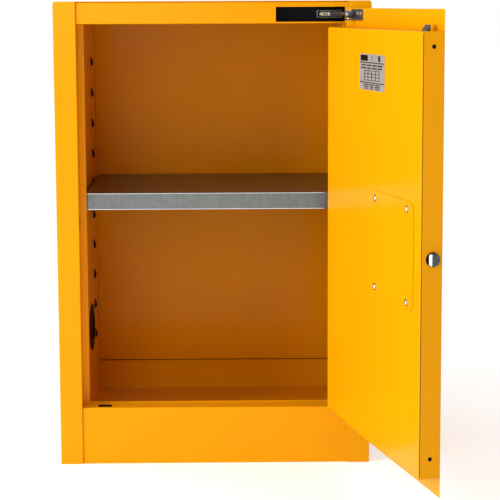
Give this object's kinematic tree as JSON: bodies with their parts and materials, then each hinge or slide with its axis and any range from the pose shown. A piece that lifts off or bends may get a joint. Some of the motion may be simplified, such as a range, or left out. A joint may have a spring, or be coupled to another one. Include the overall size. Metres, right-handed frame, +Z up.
{
  "type": "flammable storage cabinet",
  "caption": "Double-walled steel safety cabinet for flammable liquids, with a self-closing door held open, a louvre-hung shelf, a sump tray, side vents and a recessed latch.",
  "frame": {"origin": "on the floor under the middle of the body, the centre of its flat base", "axes": "+Z up; -Y out of the body's front, where the door opening is, +Y to its back; +X to the hinge side"},
  "size_m": [0.6868, 0.9589, 0.889],
  "materials": {
    "yellow_powder_coat": "gloss powder coat",
    "zinc_plated_steel": "galvanised, satin",
    "chromed_steel": "polished",
    "black_moulding": "satin black",
    "brass": "satin",
    "foil_plate": "printed foil"
  },
  "bodies": {
    "cabinet": {"outer_back": "yellow_powder_coat", "outer_bottom": "yellow_powder_coat", "outer_side_left": "yellow_powder_coat", "outer_side_right": "yellow_powder_coat", "outer_top": "yellow_powder_coat", "header": "yellow_powder_coat", "sill": "yellow_powder_coat", "liner_back": "yellow_powder_coat", "liner_left": "yellow_powder_coat", "liner_right": "yellow_powder_coat", "liner_top": "yellow_powder_coat", "sump_tray": "yellow_powder_coat", "vent_collar_left": "black_moulding", "vent_collar_right": "black_moulding", "flame_screen_left": "brass", "flame_screen_right": "brass", "ground_stud": "brass", "hinge_leaf_frame": "zinc_plated_steel", "hinge_pin": "zinc_plated_steel", "closer_housing": "black_moulding", "shelf_clip_front_left": "zinc_plated_steel", "shelf_clip_front_right": "zinc_plated_steel", "shelf_clip_rear_left": "zinc_plated_steel", "shelf_clip_rear_right": "zinc_plated_steel"},
    "door": {"door_inner_pan": "yellow_powder_coat", "door_outer_skin": "yellow_powder_coat", "hinge_leaf_door": "zinc_plated_steel", "latch_cover_plate": "yellow_powder_coat", "latch_dish": "black_moulding", "rating_plate": "foil_plate", "rivet_lower_hinge_side": "zinc_plated_steel", "rivet_lower_latch_side": "zinc_plated_steel", "rivet_upper_hinge_side": "zinc_plated_steel", "rivet_upper_latch_side": "zinc_plated_steel", "bolt_collar": "zinc_plated_steel", "rod_guide_lower": "black_moulding", "rod_guide_upper": "black_moulding", "closer_bracket": "zinc_plated_steel", "closer_stud": "chromed_steel"},
    "closer_slider": {"closer_slider": "zinc_plated_steel", "fusible_link": "brass"},
    "closer_arm": {"closer_arm": "zinc_plated_steel"},
    "paddle": {"paddle_handle": "black_moulding"},
    "lock_cylinder": {"lock_cylinder": "chromed_steel"},
    "latch_cam": {"latch_cam": "zinc_plated_steel"},
    "slam_bolt": {"slam_bolt": "chromed_steel"},
    "upper_rod": {"upper_rod": "zinc_plated_steel"},
    "lower_rod": {"lower_rod": "zinc_plated_steel"},
    "shelf": {"shelf": "zinc_plated_steel"},
    "vent_cap_left": {"vent_cap_left": "zinc_plated_steel"},
    "vent_cap_right": {"vent_cap_right": "zinc_plated_steel"},
    "ground_wing_nut": {"ground_wing_nut": "brass"},
    "levelling_foot_front_left": {"levelling_foot_front_left": "black_moulding"},
    "levelling_foot_front_right": {"levelling_foot_front_right": "black_moulding"},
    "levelling_foot_rear_left": {"levelling_foot_rear_left": "black_moulding"},
    "levelling_foot_rear_right": {"levelling_foot_rear_right": "black_moulding"}
  },
  "joints": [
    {"name": "door_hinge", "type": "hinge", "parent": "cabinet", "child": "door", "pos_m": [0.2505, -0.2285, 0.477], "axis": [0, 0, 1], "range_deg": [-104, 0]},
    {"name": "closer_slide", "type": "slide", "parent": "cabinet", "child": "closer_slider", "axis": [1, 0, 0], "range_m": [-0.0986, 0]},
    {"name": "closer_pivot", "type": "hinge", "parent": "door", "child": "closer_arm", "pos_m": [0.25144, -0.28392, 0.864], "axis": [0, 0, 1], "range_deg": [0, 170.1]},
    {"name": "paddle_pull", "type": "hinge", "parent": "door", "child": "paddle", "pos_m": [0.3325, -0.58217, 0.5075], "axis": [0.2419, -0.9703, 0], "range_deg": [0, 40.2], "stiffness_Nm_per_rad": 0.3},
    {"name": "cam_turn", "type": "hinge", "parent": "door", "child": "latch_cam", "pos_m": [0.32856, -0.66766, 0.476], "axis": [0.9703, 0.2419, 0], "range_deg": [0, 30.5]},
    {"name": "upper_rod_slide", "type": "slide", "parent": "door", "child": "upper_rod", "axis": [0, 0, -1], "range_m": [0, 0.01]},
    {"name": "lower_rod_slide", "type": "slide", "parent": "door", "child": "lower_rod", "axis": [0, 0, 1], "range_m": [0, 0.0101]},
    {"name": "bolt_slide", "type": "slide", "parent": "door", "child": "slam_bolt", "axis": [-0.2419, 0.9703, 0], "range_m": [0, 0.0121]},
    {"name": "key_turn", "type": "hinge", "parent": "door", "child": "lock_cylinder", "pos_m": [0.34411, -0.6205, 0.4735], "axis": [-0.9703, -0.2419, 0], "range_deg": [0, 90]},
    {"name": "shelf_lift", "type": "slide", "parent": "cabinet", "child": "shelf", "axis": [0, 0, 1], "range_m": [0, 0.02]},
    {"name": "vent_cap_left_turn", "type": "hinge", "parent": "cabinet", "child": "vent_cap_left", "pos_m": [-0.2998, 0, 0.2245], "axis": [-1, 0, 0], "continuous": true},
    {"name": "vent_cap_right_turn", "type": "hinge", "parent": "cabinet", "child": "vent_cap_right", "pos_m": [0.2998, 0, 0.76], "axis": [1, 0, 0], "continuous": true},
    {"name": "wing_nut_turn", "type": "hinge", "parent": "cabinet", "child": "ground_wing_nut", "pos_m": [-0.3053, 0.1715, 0.075], "axis": [-1, 0, 0], "continuous": true},
    {"name": "foot_front_left_screw", "type": "slide", "parent": "cabinet", "child": "levelling_foot_front_left", "axis": [0, 0, -1], "range_m": [0, 0.012]},
    {"name": "foot_front_right_screw", "type": "slide", "parent": "cabinet", "child": "levelling_foot_front_right", "axis": [0, 0, -1], "range_m": [0, 0.012]},
    {"name": "foot_rear_left_screw", "type": "slide", "parent": "cabinet", "child": "levelling_foot_rear_left", "axis": [0, 0, -1], "range_m": [0, 0.012]},
    {"name": "foot_rear_right_screw", "type": "slide", "parent": "cabinet", "child": "levelling_foot_rear_right", "axis": [0, 0, -1], "range_m": [0, 0.012]}
  ],
  "couplings": [
    {"joint": "closer_slide", "follows": "door_hinge", "m_per_rad": 0.054227},
    {"joint": "closer_pivot", "follows": "door_hinge", "ratio": -1.635},
    {"joint": "paddle_pull", "follows": "upper_rod_slide", "rad_per_m": 69.813},
    {"joint": "cam_turn", "follows": "upper_rod_slide", "rad_per_m": 52.36},
    {"joint": "lower_rod_slide", "follows": "upper_rod_slide", "ratio": 1},
    {"joint": "bolt_slide", "follows": "upper_rod_slide", "ratio": 1.2}
  ]
}
